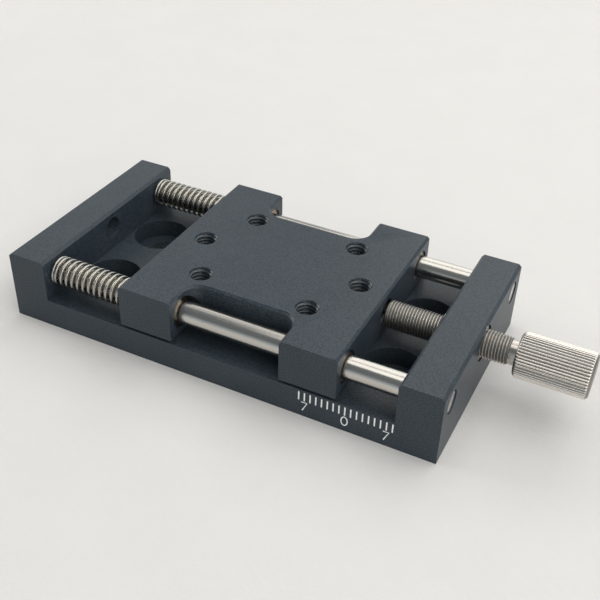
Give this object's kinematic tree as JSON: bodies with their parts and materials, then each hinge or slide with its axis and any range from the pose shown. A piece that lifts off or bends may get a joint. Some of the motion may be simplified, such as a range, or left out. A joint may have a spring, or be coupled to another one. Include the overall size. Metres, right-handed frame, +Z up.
{
  "type": "linear translation stage",
  "caption": "Low manual linear stage: U-shaped base, two guide rods with return springs, H-shaped carriage with tapped holes, fine drive screw and knurled knob.",
  "frame": {"origin": "centre of the base's underside", "axes": "+X along the travel towards the knob, +Y across towards the back rod, +Z up through the carriage's mounting face"},
  "size_m": [0.0976, 0.04, 0.0135],
  "materials": {
    "black_anodised": "black anodised, fine satin",
    "ground_steel": "hardened, ground and polished",
    "black_steel": "black oxide",
    "nut_metal": "plain turned",
    "spring_wire": "bright drawn wire",
    "bearing_bronze": "plain turned bronze",
    "screw_steel": "rolled fine thread, lightly oiled",
    "knob_steel": "straight knurl, stainless"
  },
  "bodies": {
    "base": {"base_body": "black_anodised", "front_guide_rod": "ground_steel", "back_guide_rod": "ground_steel", "rod_set_screws": "black_steel", "drive_nut": "nut_metal", "front_spring": "spring_wire", "back_spring": "spring_wire"},
    "carriage": {"carriage_block": "black_anodised", "front_left_bush": "bearing_bronze", "front_right_bush": "bearing_bronze", "back_left_bush": "bearing_bronze", "back_right_bush": "bearing_bronze", "thrust_pad": "ground_steel"},
    "screw": {"drive_screw": "screw_steel", "thrust_pin": "ground_steel", "knob": "knob_steel", "knob_set_screw": "black_steel"}
  },
  "joints": [
    {"name": "carriage_slide", "type": "slide", "parent": "base", "child": "carriage", "axis": [1, 0, 0], "range_m": [-0.00525, 0.00875], "deforming": ["front_spring", "back_spring"]},
    {"name": "screw_turn", "type": "hinge", "parent": "carriage", "child": "screw", "pos_m": [0.0446, 0, 0.0095], "axis": [1, 0, 0], "range_deg": [-3780, 6300]}
  ],
  "couplings": [
    {"joint": "screw_turn", "follows": "carriage_slide", "rad_per_m": 12566}
  ]
}
